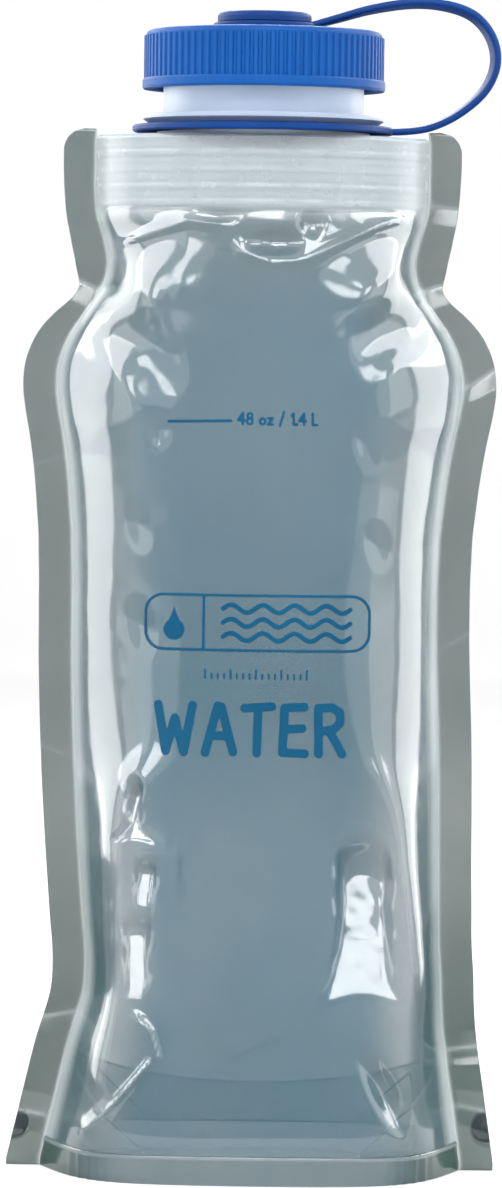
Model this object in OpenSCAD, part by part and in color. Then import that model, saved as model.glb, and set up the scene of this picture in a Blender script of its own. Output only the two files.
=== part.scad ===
// Folding water bottle: a clear stand-up film pouch with a welded wide-mouth spout,
// a ribbed screw cap and a moulded tether that holds the cap to the neck.
// Origin at the middle of the base, +Z up, -Y is the front.

/* [Pouch] */
// Height of the front and back films' top edge, on the boat
film_top = 298.6; // [290:0.2:304]
// How much higher the two ears beside the spout reach
ear_rise = 1.2; // [0:0.2:1.6]
// Width across the base corners
base_w = 142; // [136:1:146]
// Width across the seals at the waist
waist_w = 124.8; // [120:0.4:128]
// Width across the seals at the shoulders
shoulder_w = 136.4; // [132:0.4:140]
// Width across the seals at the throat, under the spout
throat_w = 108.4; // [107:0.2:111]
// Width across the two ears beside the spout
ear_w = 115.4; // [114:0.2:118]
// Width of a side seal
seal_w = 9.7; // [9:0.1:10]
// Thickness of one film
film_t = 0.3; // [0.25:0.05:0.4]
// Depth of the pouch at the base
base_depth = 68; // [62:1:72]
// Depth of the pouch at mid height
body_depth = 60; // [56:1:64]
// Height of the welded band round the base
band_h = 8.5; // [8:0.5:12]
// Height at which the gusset's fold meets the side seals
fold_h = 33; // [30:1:36]
// Height of the gusset's fold at the middle of the base
ridge_h = 24; // [20:1:28]

/* [Spout] */
// Height of the boat-shaped block that is welded between the films
boat_h = 20.8; // [18:0.2:22]
// Length of the boat, tip to tip
boat_l = 94; // [92:0.5:96]
// Depth of the boat
boat_d = 61; // [60:0.5:62]
// Radius of the mouth's bore
bore_r = 26.2; // [25.6:0.1:26.6]
// Outer radius of the neck
neck_r = 28.8; // [28.6:0.1:29]
// Radius of the flange that keeps the tether's ring down
flange_r = 34.6; // [33:0.2:35]
// Lead of the screw thread
lead = 6; // [5.8:0.1:6.2]

/* [Cap] */
// Outer radius over the ribs
cap_r = 34.5; // [34.2:0.1:35]
// Height of the cap, without its hub
cap_h = 17; // [16.6:0.1:17.4]
// Number of grip ribs
ribs = 90; // [72:2:96]
// Radius of the hub's head
hub_r = 13.5; // [12.5:0.1:14]

/* [Tether] */
// Outer radius of the ring round the neck
ring_r = 37.6; // [36.5:0.1:38]
// Outer radius of the eyelet round the hub
eyelet_r = 14.8; // [14.2:0.1:15.5]
// Width of the strap
strap_w = 6.6; // [5:0.2:7]
// Thickness of the ring, the strap and the eyelet
tether_t = 2; // [1.8:0.1:2.2]

/* [Hidden] */
$fn = 96;

film = [0.62, 0.72, 0.76, 0.5];
weld = [0.5, 0.57, 0.58, 0.7];
natural = [0.86, 0.9, 0.93];
cap_blue = [0.1, 0.36, 0.68];
tether_blue = [0.07, 0.25, 0.62];

gap = 0.3;                          // play between pieces that move on each other
butt = 0.05;                        // space between films that meet edge to edge
eps = 0.01;                         // overlap of solids that are joined

// Heights up the neck, each from the one below.
boat_top = film_top - 0.6;
boat_z = boat_top - boat_h;
ear_top = film_top + ear_rise;
ring_z = film_top + 0.4;
flange_z = ring_z + tether_t + gap;
flange_top = flange_z + 2.7;
cap_z = flange_top + 7.3;
cap_top = cap_z + cap_h;
plate_t = 2.1;                      // thickness of the cap's top
rim_z = cap_top - plate_t - 0.2;    // top of the neck
seat_z = rim_z - 4.5;               // bottom of the seat for the cap's plug
eyelet_z = cap_top + gap;
head_z = eyelet_z + tether_t + gap;
hub_top = head_z + 2.8;

weld_rib = 0.5;                     // how far the boat's weld ribs stand out
weld_pitch = 2.35;                  // spacing of the weld ribs
wall_t = 2.2;                       // wall of the boat
shoulder_r = 30.6;                  // the neck where the tether's ring turns on it
seat_r = bore_r + 0.7;              // seat for the cap's plug
cap_in_r = 31.9;                    // inside of the cap's skirt
cap_band_h = 3;                     // plain band at the foot of the skirt
rib_depth = 0.6;
edge_r = 1.6;                       // rounding of the cap's top edge
hub_stem_r = 11;                    // the eyelet turns on this
pivot_r = 5;                        // the hub's pin, in a blind socket in the cap
pivot_h = 3.2;
pivot_play = 0.05;
boss_r = 8;

thread_h = 2.4;                     // radial height of the neck's thread
thread_foot = 3.2;                  // its width where it leaves the neck
thread_z = cap_z + 3.6;             // height of the neck's thread at angle 0
thread_fn = 40;                     // steps in a turn
run_out = 5;                        // steps over which a thread's end fades away

// ---- curves ----

function ease(t) = let (c = max(0, min(1, t))) c * c * (3 - 2 * c);

// Slope of a curve of [place, value] points at point i.
function slope(c, i) =
    let (a = max(0, i - 1), b = min(len(c) - 1, i + 1))
    (c[b][1] - c[a][1]) / (c[b][0] - c[a][0]);

// Smooth curve through [place, value] points.
function curve(c, x, i = 0) =
    x > c[i + 1][0] && i < len(c) - 2 ? curve(c, x, i + 1) :
    let (h = c[i + 1][0] - c[i][0], t = max(0, min(1, (x - c[i][0]) / h)),
         t2 = t * t, t3 = t2 * t)
    (2 * t3 - 3 * t2 + 1) * c[i][1] + (t3 - 2 * t2 + t) * h * slope(c, i)
    + (3 * t2 - 2 * t3) * c[i + 1][1] + (t3 - t2) * h * slope(c, i + 1);

// Outer half-width of the pouch against the share of its height.
edge = [[0, base_w / 2], [0.12, base_w / 2 - 6.8], [0.18, waist_w / 2 - 1.6],
        [0.23, waist_w / 2 - 1.4], [0.4, waist_w / 2 - 0.1], [0.6, waist_w / 2],
        [0.69, waist_w / 2 + 2.6], [0.74, shoulder_w / 2 - 0.5], [0.765, shoulder_w / 2],
        [0.8, shoulder_w / 2 - 2.6], [0.86, throat_w / 2 - 0.1], [0.885, throat_w / 2 + 0.1],
        [0.94, ear_w / 2 - 0.5], [0.97, ear_w / 2], [1, ear_w / 2]];
function outer_w(z) = curve(edge, z / film_top);

// Inner edge of a side seal. It runs straight up beside the boat and closes in under it.
function inner_w(z) =
    max(outer_w(z) - seal_w, boat_l / 2 + 1 - 0.3 * max(0, boat_z - z));

// Half-depth of the pouch at its middle against the share of its height.
boat_fit = weld_rib + gap;
belly = [[0, base_depth / 2], [0.12, base_depth / 2 - 0.5], [0.5, body_depth / 2],
         [0.78, body_depth / 2], [0.92, boat_d / 2 + boat_fit + film_t],
         [1, boat_d / 2 + boat_fit + film_t]];
function depth(z) = curve(belly, z / film_top);

// The film's section is a rounded box low down and the boat's two arcs at the top.
function box_bulge(s) = pow(max(0, 1 - pow(abs(s), 2.6)), 1 / 1.6);
function arc_bulge(x, w, d) =
    let (r = (w * w + d * d) / (2 * d)) sqrt(max(0, r * r - x * x)) - (r - d);
function boat_share(z) = ease((z - film_top * 0.82) / (boat_z - film_top * 0.82));
function film_y(s, z, inset) =
    let (w = inner_w(z) - inset, d = depth(z) - inset, m = boat_share(z))
    (1 - m) * d * box_bulge(s) + m * arc_bulge(s * w, w, d);

// A point on the film, s from -1 to 1 across it, inset from its outer face.
function film_point(s, z, inset, side) =
    [s * (inner_w(z) - inset), side * (butt + film_y(s, z, inset)), z];

columns = 24;
across = [for (i = [0:columns]) sin(180 * i / columns - 90)];

// ---- solids made from grids ----

// A closed solid between two grids of points with the same rows and columns.
module shell(outer, inner, flip) {
    rows = len(outer);
    cols = len(outer[0]);
    n = rows * cols;
    points = concat([for (r = outer) each r], [for (r = inner) each r]);
    top = [for (j = [0:rows - 2], i = [0:cols - 2]) let (a = j * cols + i)
           each [[a, a + 1, a + cols + 1], [a, a + cols + 1, a + cols]]];
    bottom = [for (f = top) [f[2] + n, f[1] + n, f[0] + n]];
    rim = concat([for (i = [0:cols - 2]) [i + 1, i]],
                 [for (i = [0:cols - 2]) [(rows - 1) * cols + i, (rows - 1) * cols + i + 1]],
                 [for (j = [0:rows - 2]) [j * cols, (j + 1) * cols]],
                 [for (j = [0:rows - 2]) [(j + 2) * cols - 1, (j + 1) * cols - 1]]);
    sides = [for (e = rim) each [[e[0], e[1], e[1] + n], [e[0], e[1] + n, e[0] + n]]];
    faces = concat(top, bottom, sides);
    polyhedron(points, flip ? faces : [for (f = faces) reversed(f)]);
}

// A stretch of one film between two heights, side -1 for the front and 1 for the back.
module film_shell(heights, spans, inset, thick, side)
    shell([for (z = heights) [for (s = spans) film_point(s, z, inset, side)]],
          [for (z = heights) [for (s = spans) film_point(s, z, inset + thick, side)]],
          side > 0);

function steps(from, to, count) = [for (i = [0:count]) from + (to - from) * i / count];
function reversed(p) = [for (i = [len(p) - 1:-1:0]) p[i]];

// ---- pouch ----

body_heights = concat(steps(band_h + butt, film_top * 0.66, 14),
                      steps(film_top * 0.66 + 6, boat_z, 15), [film_top - 0.5]);

module panel(side) color(film) film_shell(body_heights, across, 0, film_t, side);

module base_seal(side)
    color(weld) film_shell([0, band_h / 2, band_h], across, 0, 2 * film_t, side);

// A corner weld: the gusset is fused to the inside of a panel below a slanting line.
corner_x = 0.5;                     // where the slanting line meets the band, as a share
corner_end = 0.985;
function corner_top(s) = band_h + butt + 0.4
    + (fold_h - band_h) * max(0, abs(s) - corner_x) / (corner_end - corner_x);

module corner_patch(side, end) {
    spans = [for (s = across) if (s * end > corner_x - 0.1 && s * end < 0.999)
             min(abs(s), corner_end) * end];
    from = film_t + gap;
    to = from + film_t;
    levels = steps(0, 1, 4);
    shell([for (v = levels) [for (s = spans)
              film_point(s, band_h + butt + v * (corner_top(s) - band_h), from, side)]],
          [for (v = levels) [for (s = spans)
              film_point(s, band_h + butt + v * (corner_top(s) - band_h), to, side)]],
          side > 0);
}

module corner_seal(end) color(weld) {
    corner_patch(-1, end);
    corner_patch(1, end);
}

// The gusset: a tent that hangs between the two panels, folded up along its middle.
function ridge(s) = ridge_h + (fold_h - ridge_h) * s * s;
function gusset_point(s, v, drop) =
    let (z = corner_top(s) + 1, reach = film_y(s, z, 3 * film_t + 2 * butt) - 0.2,
         w = inner_w(z) - 3 * film_t)
    [s * w, v * reach, z + (ridge(s) - z + 1) * (1 - pow(abs(v), 1.5)) - drop];

module base_gusset() {
    spans = [for (s = across) corner_end * s];
    rows = steps(-1, 1, 12);
    color(film)
    shell([for (v = rows) [for (s = spans) gusset_point(s, v, film_t)]],
          [for (v = rows) [for (s = spans) gusset_point(s, v, 0)]], true);
}

// A side seal: both films fused flat, with the gusset's two layers between them low down.
ear_round = 6;
punch_r = 5;
punch_z = 12.5;

function seal_outline() = concat(
    [for (z = concat(steps(0, band_h, 2), body_heights)) if (z < ear_top - ear_round)
        [outer_w(z), z]],
    [for (a = [15:15:90])
        [ear_w / 2 - ear_round + ear_round * cos(a), ear_top - ear_round + ear_round * sin(a)]],
    [[inner_w(film_top) + butt, ear_top]],
    [for (z = reversed(concat(steps(0, band_h, 2), body_heights))) [inner_w(z) + butt, z]]);

module side_seal(end) color(weld)
    mirror([end < 0 ? 1 : 0, 0, 0])
    difference() {
        rotate([90, 0, 0]) {
            linear_extrude(2 * film_t, center = true) polygon(seal_outline());
            linear_extrude(4 * film_t, center = true) intersection() {
                polygon(seal_outline());
                square([base_w, fold_h]);
            }
        }
        for (side = [-1, 1])
            translate([outer_w(punch_z), side * (film_t + 1), punch_z])
                rotate([90, 0, 0]) cylinder(r = punch_r, h = 2, center = true);
    }

// ---- spout ----

// An upright lens with pointed ends, between two arcs.
module lens(half_l, half_d, h) linear_extrude(h) polygon(concat(
    [for (x = steps(-half_l, half_l, 32)) [x, -arc_bulge(x, half_l, half_d)]],
    [for (x = steps(half_l, -half_l, 32)) if (abs(x) < half_l) [x, arc_bulge(x, half_l, half_d)]]));

// A thread: a trapezoid swept up a helix, tapering to nothing at both ends.
function thread_ring(k, first, last, root, crest, foot, tip, z0) =
    let (a = 360 * k / thread_fn, z = z0 + lead * k / thread_fn,
         fade = ease(min(k - first, last - k) / run_out + 0.08),
         r = root + (crest - root) * fade)
    [for (p = [[root, -foot / 2], [r, -tip / 2], [r, tip / 2], [root, foot / 2]])
        [p[0] * cos(a), p[0] * sin(a), z + p[1]]];

// From one turn to another, on a helix that passes z0 at angle 0.
module thread(root, crest, foot, tip, z0, from, to) {
    first = round(from * thread_fn);
    end = round(to * thread_fn);
    count = end - first;
    points = [for (k = [first:end]) each thread_ring(k, first, end, root, crest, foot, tip, z0)];
    sides = [for (k = [0:count - 1], i = [0:3]) let (a = 4 * k + i, b = 4 * k + (i + 1) % 4)
             each [[a, b, b + 4], [a, b + 4, a + 4]]];
    last = 4 * count;
    faces = concat(sides, [[3, 2, 1, 0]], [[last, last + 1, last + 2, last + 3]]);
    polyhedron(points, crest > root ? faces : [for (f = faces) reversed(f)]);
}

module boat() {
    lens(boat_l / 2, boat_d / 2, boat_h);
    for (i = [0:8])
        translate([0, 0, 0.6 + i * weld_pitch])
            lens(boat_l / 2 + weld_rib, boat_d / 2 + weld_rib, i % 2 ? 0.5 : 1);
}

// The boat is cored out from below on both sides of the neck, to an even wall.
module boat_pockets() difference() {
    lens(boat_l / 2 - wall_t - 1, boat_d / 2 - wall_t, boat_h - wall_t);
    cylinder(r = neck_r, h = boat_h);
    translate([-2, -boat_d / 2, 0]) cube([4, boat_d, boat_h]);
}

module neck_profile() polygon([
    [bore_r, boat_z], [neck_r, boat_z], [neck_r, boat_top - 1], [shoulder_r, boat_top - 1],
    [shoulder_r, flange_z], [flange_r - 2, flange_z], [flange_r, flange_z + 1.4],
    [flange_r, flange_top - 0.6], [flange_r - 0.6, flange_top], [neck_r, flange_top],
    [neck_r, rim_z - 0.8], [neck_r - 0.8, rim_z], [seat_r + 0.3, rim_z], [seat_r, rim_z - 0.5],
    [seat_r, seat_z], [bore_r, seat_z]]);

module spout() color(natural) {
    difference() {
        union() {
            translate([0, 0, boat_z]) boat();
            translate([0, 0, boat_z]) cylinder(r = neck_r, h = flange_z - boat_z);
        }
        translate([0, 0, boat_z - eps]) boat_pockets();
        translate([0, 0, boat_z - 1]) cylinder(r = bore_r, h = boat_h * 2);
    }
    rotate_extrude() neck_profile();
    thread(neck_r - 0.6, neck_r + thread_h, thread_foot, 1.4, thread_z, 0, 1.4);
}

// ---- cap ----

module cap_profile() polygon(concat(
    [[cap_in_r, cap_z], [cap_r + 0.1, cap_z], [cap_r + 0.4, cap_z + 0.6],
     [cap_r + 0.4, cap_z + cap_band_h - 0.5], [cap_r + 0.1, cap_z + cap_band_h],
     [cap_r - rib_depth, cap_z + cap_band_h]],
    [for (a = [0:15:90])
        [cap_r - rib_depth - edge_r + edge_r * cos(a), cap_top - edge_r + edge_r * sin(a)]],
    [[pivot_r + pivot_play, cap_top], [pivot_r + pivot_play, cap_top - pivot_h - 0.1],
     [0, cap_top - pivot_h - 0.1], [0, cap_top - pivot_h - plate_t],
     [boss_r - 0.5, cap_top - pivot_h - plate_t], [boss_r, cap_top - plate_t],
     [cap_in_r, cap_top - plate_t]]));

// Grip ribs: a toothed outline round the skirt.
module rib_ring() linear_extrude(cap_h - cap_band_h - edge_r + 0.8) difference() {
    polygon([for (i = [0:ribs - 1], p = [[0.1, -0.3], [0.3, 1], [0.7, 1], [0.9, -0.3]])
        let (a = 360 * (i + p[0]) / ribs, r = cap_r - rib_depth * (1 - p[1]))
        [r * cos(a), r * sin(a)]]);
    circle(r = cap_r - 1.5);
}

module cap() color(cap_blue) {
    rotate_extrude() cap_profile();
    translate([0, 0, cap_z + cap_band_h - 1]) rib_ring();
    translate([0, 0, cap_top - plate_t - 4])
        rotate_extrude() polygon([[seat_r - 1.9, 0.6], [seat_r - 1.4, 0], [seat_r - 0.5, 0],
                                  [seat_r - 0.1, 0.8], [seat_r - 0.1, 4.2], [seat_r - 1.9, 4.2]]);
    thread(cap_in_r + 0.5, neck_r + 1, 2.4, 1, thread_z - thread_foot / 2 - gap, 0.3, 1.5);
}

// The hub is a stud that the cap turns on. It holds the tether's eyelet under its head.
module cap_hub() color(tether_blue)
    rotate_extrude() polygon(concat(
        [[0, cap_top - pivot_h], [pivot_r, cap_top - pivot_h], [pivot_r, cap_top + butt],
         [hub_stem_r, cap_top + butt], [hub_stem_r, head_z], [hub_r, head_z]],
        [for (a = [0:15:75]) [hub_r - 1.6 + 1.6 * cos(a), hub_top - 1.6 + 1.6 * sin(a)]],
        [[hub_r - 3, hub_top], [hub_r - 3.4, hub_top - 0.3], [0, hub_top - 0.3]]));

// ---- tether ----

module flat_ring(inner, outer, z) translate([0, 0, z]) rotate_extrude()
    polygon([[inner, 0.4], [inner + 0.4, 0], [outer - 0.5, 0], [outer, 0.5],
             [outer, tether_t - 0.5], [outer - 0.5, tether_t], [inner + 0.4, tether_t],
             [inner, tether_t - 0.4]]);

// The strap's middle line in the XZ plane, from the ring out and over to the eyelet.
strap_line = [[34, ring_z + 1], [40, ring_z + 1], [48, ring_z + 2.4], [56, ring_z + 6.4],
              [63.2, ring_z + 13], [66.4, ring_z + 20.6], [65.2, ring_z + 28],
              [60.4, ring_z + 34], [53, ring_z + 37], [43, ring_z + 37.8],
              [31, ring_z + 36], [21, ring_z + 33.2], [12, eyelet_z + tether_t / 2]];

function spline_point(p, i, t) =
    let (last = len(p) - 1, a = p[max(0, i - 1)], b = p[i], c = p[i + 1], d = p[min(last, i + 2)])
    0.5 * (2 * b + (c - a) * t + (2 * a - 5 * b + 4 * c - d) * t * t
           + (3 * b - a - 3 * c + d) * t * t * t);
strap_curve = [for (i = [0:len(strap_line) - 2], t = [0:0.25:0.75]) spline_point(strap_line, i, t),
               strap_line[len(strap_line) - 1]];

// The strap's line moved sideways by a distance.
function beside(p, d) = [for (i = [0:len(p) - 1])
    let (a = p[max(0, i - 1)], b = p[min(len(p) - 1, i + 1)], v = (b - a) / norm(b - a))
    p[i] + d * [-v[1], v[0]]];

module tether_strap() color(tether_blue) difference() {
    rotate([90, 0, 0]) linear_extrude(strap_w, center = true)
        polygon(concat(beside(strap_curve, tether_t / 2),
                       reversed(beside(strap_curve, -tether_t / 2))));
    translate([0, 0, ring_z - 2]) cylinder(r = ring_r + butt, h = 8);
    translate([0, 0, eyelet_z - 2]) cylinder(r = eyelet_r + butt, h = 8);
}

panel(-1);  // front_panel
panel(1);  // back_panel
side_seal(-1);  // left_side_seal
side_seal(1);  // right_side_seal
base_seal(-1);  // front_base_seal
base_seal(1);  // back_base_seal
corner_seal(-1);  // left_corner_seal
corner_seal(1);  // right_corner_seal
base_gusset();
spout();
cap();
cap_hub();
color(tether_blue) flat_ring(shoulder_r + gap, ring_r, ring_z);  // tether_ring
tether_strap();
color(tether_blue) flat_ring(hub_stem_r + gap, eyelet_r, eyelet_z);  // tether_eyelet
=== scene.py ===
"""A folding water bottle: a stand-up pouch of clear film with a welded spout, a ribbed screw cap
and a tether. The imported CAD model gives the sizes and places. The films, the welds, the print and
the tether's strap are built here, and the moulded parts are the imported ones."""
import math
import bpy
import numpy as np
from mathutils import Matrix, Vector, noise
from mathutils.bvhtree import BVHTree


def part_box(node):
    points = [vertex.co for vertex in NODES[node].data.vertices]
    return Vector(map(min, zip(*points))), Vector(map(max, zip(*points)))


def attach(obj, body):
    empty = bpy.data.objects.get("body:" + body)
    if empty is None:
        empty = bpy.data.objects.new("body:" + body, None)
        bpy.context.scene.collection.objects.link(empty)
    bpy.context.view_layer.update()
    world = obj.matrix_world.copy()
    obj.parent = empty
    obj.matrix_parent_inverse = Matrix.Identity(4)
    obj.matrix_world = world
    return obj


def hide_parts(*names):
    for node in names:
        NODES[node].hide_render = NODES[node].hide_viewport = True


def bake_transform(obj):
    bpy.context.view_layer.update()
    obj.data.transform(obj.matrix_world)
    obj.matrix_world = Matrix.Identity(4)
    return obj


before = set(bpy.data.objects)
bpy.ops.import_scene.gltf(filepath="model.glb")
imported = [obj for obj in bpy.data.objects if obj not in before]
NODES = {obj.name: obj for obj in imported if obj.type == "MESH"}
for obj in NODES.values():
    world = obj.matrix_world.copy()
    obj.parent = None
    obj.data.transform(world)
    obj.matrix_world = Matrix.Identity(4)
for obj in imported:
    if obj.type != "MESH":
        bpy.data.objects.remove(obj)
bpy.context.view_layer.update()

MM = 0.001
FILM_T = 0.3 * MM        # one film
WELD_T = 0.6 * MM        # two films fused together
BAND_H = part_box("front_base_seal")[1].z
BOAT_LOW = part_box("spout")[0].z
FILM_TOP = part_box("front_panel")[1].z
EAR_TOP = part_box("left_side_seal")[1].z
RING_LOW, RING_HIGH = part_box("tether_ring")
EYELET_LOW, EYELET_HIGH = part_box("tether_eyelet")
SIDE_NAMES = {-1: "front", 1: "back"}    # by the sign of y
END_NAMES = {-1: "left", 1: "right"}     # by the sign of x


# ---- camera, light and stage ----

def make_camera():
    """The photograph's view: 1.5 m away, level with the shoulders, rolled a little."""
    data = bpy.data.cameras.new("camera")
    data.sensor_fit = "VERTICAL"
    data.sensor_height = 24
    data.lens = 105.1
    cam = bpy.data.objects.new("camera", data)
    place = Vector((-0.0017, -1.5, 0.24))
    target = Vector((-0.0017, 0, 0.1665))
    aim = (target - place).to_track_quat("-Z", "Y").to_matrix().to_4x4()
    roll = Matrix.Rotation(math.radians(0.78), 4, "Z")
    cam.matrix_world = Matrix.Translation(place) @ aim @ roll
    bpy.context.collection.objects.link(cam)
    bpy.context.scene.camera = cam


def softbox(name, place, target, width, height, radiance, shine_only=False):
    """A rectangular light that faces the target. The camera can't see it, and with shine_only it
    lights no matt surface and only shows as a highlight."""
    data = bpy.data.lights.new(name, "AREA")
    data.shape = "RECTANGLE"
    data.size = width
    data.size_y = height
    data.energy = radiance * math.pi * width * height
    lamp = bpy.data.objects.new(name, data)
    lamp.location = place
    lamp.rotation_euler = (Vector(target) - Vector(place)).to_track_quat("-Z", "Y").to_euler()
    lamp.visible_camera = False
    lamp.visible_diffuse = not shine_only
    bpy.context.collection.objects.link(lamp)


# Softboxes left and right of the bottle: name, place of the right one, target, width, height
# and radiance.
PAIRED_BOXES = [
    ("side_box", (1.3, 0, 1.12), (0, 0, 0.5), 1.8, 0.9, 7),
    ("rim_box", (0.62, 0.28, 0.27), (0, 0, 0.26), 0.5, 0.5, 5),
    ("glow_box", (0.36, 0.56, 0.2), (0, 0, 0.2), 0.45, 0.38, 2.2),
    ("fill_box", (1.2, -0.5, 0.4), (0, 0, 0.3), 0.9, 0.7, 1.6),
]


def make_lights():
    """A pale room lit from above, with softboxes all round that only show as highlights."""
    world = bpy.data.worlds.new("studio")
    world.use_nodes = True
    sky = world.node_tree.nodes["Background"]
    sky.inputs["Color"].default_value = (1, 1, 1, 1)
    sky.inputs["Strength"].default_value = 1.12
    bpy.context.scene.world = world
    for end in (-1, 1):
        for name, (x, y, z), target, width, height, radiance in PAIRED_BOXES:
            softbox(f"{name}_{end}", (x * end, y, z), target, width, height, radiance, True)
    for side, name in SIDE_NAMES.items():
        softbox(f"{name}_ceiling", (0, 0.95 * side, 1.15), (0, 0, 0.15), 0.8, 0.5, 11)
        softbox(f"{name}_key", (0, 1.7 * side, 0.85), (0, 0, 0.2), 0.9, 0.4, 9, True)
        for end in (-1, 1):
            softbox(f"{name}_corner_{end}", (0.84 * end, 1.24 * side, 0.85), (0, 0, 0.25),
                    0.4, 0.5, 8, True)


def make_flags():
    """Dark cards round the foot that only show in reflections, where they keep the film's flat
    middle dark. On each side: one on the floor, one upright at its far end, one beside the foot."""
    black = plain_material("flag_felt", (0.04, 0.045, 0.05), 0.9)
    wide, near, far = 1.1, 0.045, 2.0
    low, high, foot = 0.012, 0.62, 0.078
    for side in (-1, 1):
        verts = [(-wide, side * near, low), (wide, side * near, low),
                 (wide, side * far, low), (-wide, side * far, low),
                 (wide, side * far, high), (-wide, side * far, high),
                 (side * foot, -near, low), (side * wide, -near, low),
                 (side * wide, near, low), (side * foot, near, low)]
        cards = [(0, 1, 2, 3), (3, 2, 4, 5), (6, 7, 8, 9)]
        flag = mesh_object(f"flag_{side}", verts, cards, smooth=False)
        flag.data.materials.append(black)
        for kind in ("camera", "diffuse", "transmission", "volume_scatter", "shadow"):
            setattr(flag, f"visible_{kind}", False)


def make_stage():
    """A pale floor that curves up into a backdrop."""
    front, back, top, bend, half_width = -3.4, 3.4, 3.4, 1.6, 4.0
    line = [(front, 0.0), (back - bend, 0.0)]
    line += [(back - bend + bend * math.sin(a), bend - bend * math.cos(a))
             for a in np.linspace(0, math.pi / 2, 17)[1:]]
    line += [(back, top)]
    verts = [(x, y, z) for y, z in line for x in (-half_width, half_width)]
    faces = [(2 * i, 2 * i + 1, 2 * i + 3, 2 * i + 2) for i in range(len(line) - 1)]
    floor = mesh_object("floor", verts, faces)
    floor.data.materials.append(plain_material("floor_paper", (0.86, 0.86, 0.86), 0.8))


# ---- meshes ----

def mesh_object(name, verts, faces, smooth=True):
    mesh = bpy.data.meshes.new(name)
    mesh.from_pydata([tuple(v) for v in verts], [], [tuple(f) for f in faces])
    mesh.update()
    if smooth:
        mesh.shade_smooth()
    obj = bpy.data.objects.new(name, mesh)
    bpy.context.collection.objects.link(obj)
    return obj


def paint(skin, tint):
    """Gives both faces of a shell a colour and an opacity, which the film materials read."""
    layer = skin.data.color_attributes.new("tint", "FLOAT_COLOR", "POINT")
    both = np.concatenate([tint.reshape(-1, 4)] * 2)
    layer.data.foreach_set("color", np.asarray(both, np.float32).ravel())


def grid_faces(rows, cols, first=0, flip=False):
    """The quads of a grid whose vertices are numbered row by row from first."""
    quads = []
    for j in range(rows - 1):
        for i in range(cols - 1):
            a = first + j * cols + i
            quad = (a, a + 1, a + cols + 1, a + cols)
            quads.append(quad[::-1] if flip else quad)
    return quads


def shell(name, outer, inner):
    """A closed skin between two grids of points, outer and inner, of shape rows x cols x 3."""
    rows, cols = outer.shape[:2]
    n = rows * cols
    faces = grid_faces(rows, cols) + grid_faces(rows, cols, n, flip=True)
    rim = [(i, i + 1) for i in range(cols - 1)]
    rim += [(j * cols + cols - 1, (j + 1) * cols + cols - 1) for j in range(rows - 1)]
    rim += [((rows - 1) * cols + i + 1, (rows - 1) * cols + i) for i in range(cols - 1)]
    rim += [((j + 1) * cols, j * cols) for j in range(rows - 1)]
    faces += [(a, a + n, b + n, b) for a, b in rim]
    verts = np.concatenate([outer.reshape(-1, 3), inner.reshape(-1, 3)])
    return mesh_object(name, verts, faces)


def grid_normals(points):
    """Unit normals of a grid of points, by central differences."""
    du = np.gradient(points, axis=1)
    dv = np.gradient(points, axis=0)
    normal = np.cross(du, dv)
    return normal / np.maximum(np.linalg.norm(normal, axis=2, keepdims=True), 1e-12)


def film_piece(name, points, thick, tint):
    """A film whose outer face is the grid, with its thickness on the inside."""
    piece = shell(name, points, points - grid_normals(points) * thick)
    paint(piece, tint)
    return piece


# ---- the pouch's outline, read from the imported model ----

def tree_of(*names):
    """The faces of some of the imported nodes, ready for rays."""
    verts, faces = [], []
    for name in names:
        mesh = NODES[name].data
        first = len(verts)
        verts += [v.co.copy() for v in mesh.vertices]
        faces += [[first + i for i in p.vertices] for p in mesh.polygons]
    return BVHTree.FromPolygons(verts, faces)


def smooth_curve(places, values):
    """A smooth curve through the points, as a function of an array."""
    places, values = np.array(places, float), np.array(values, float)
    slopes = np.gradient(values, places)

    def at(x):
        x = np.clip(x, places[0], places[-1])
        i = np.clip(np.searchsorted(places, x) - 1, 0, len(places) - 2)
        h = places[i + 1] - places[i]
        t = (x - places[i]) / h
        a = 2 * t**3 - 3 * t**2 + 1
        b = t**3 - 2 * t**2 + t
        c = 3 * t**2 - 2 * t**3
        d = t**3 - t**2
        return a * values[i] + b * h * slopes[i] + c * values[i + 1] + d * h * slopes[i + 1]
    return at


def curve_mm(*points):
    """A smooth curve through (height, value) points that are given in millimetres."""
    return smooth_curve([p[0] * MM for p in points], [p[1] * MM for p in points])


def read_outline():
    """Half-widths at the seals' outer and inner edges and the half-depth, against height."""
    seal, front = tree_of("left_side_seal"), tree_of("front_panel", "front_base_seal")
    outside = 0.3
    levels = np.concatenate([np.arange(2, 290, 7.0), [FILM_TOP / MM - 1]]) * MM
    outer, inner, deep = [], [], []
    for z in levels:
        outer.append(-seal.ray_cast(Vector((-outside, 0, z)), Vector((1, 0, 0)))[0].x)
        inner.append(-seal.ray_cast(Vector((0, 0, z)), Vector((-1, 0, 0)))[0].x)
        deep.append(-front.ray_cast(Vector((0, -outside, z)), Vector((0, 1, 0)))[0].y)
    outer[-1] = outer[-2]    # the top level meets the ear's rounded corner
    return smooth_curve(levels, outer), smooth_curve(levels, inner), smooth_curve(levels, deep)


outer_w, inner_w, half_depth = read_outline()

# The pouch's middle line isn't quite straight: sideways shift against height.
sway = curve_mm((0, 0), (19, 0.8), (37, 1.6), (54, 3.2), (72, 2.4), (89, 1.6), (124, 0.3),
                (150, -0.6), (176, -0.7), (220, 0), (250, 0), (300, 0))

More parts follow.
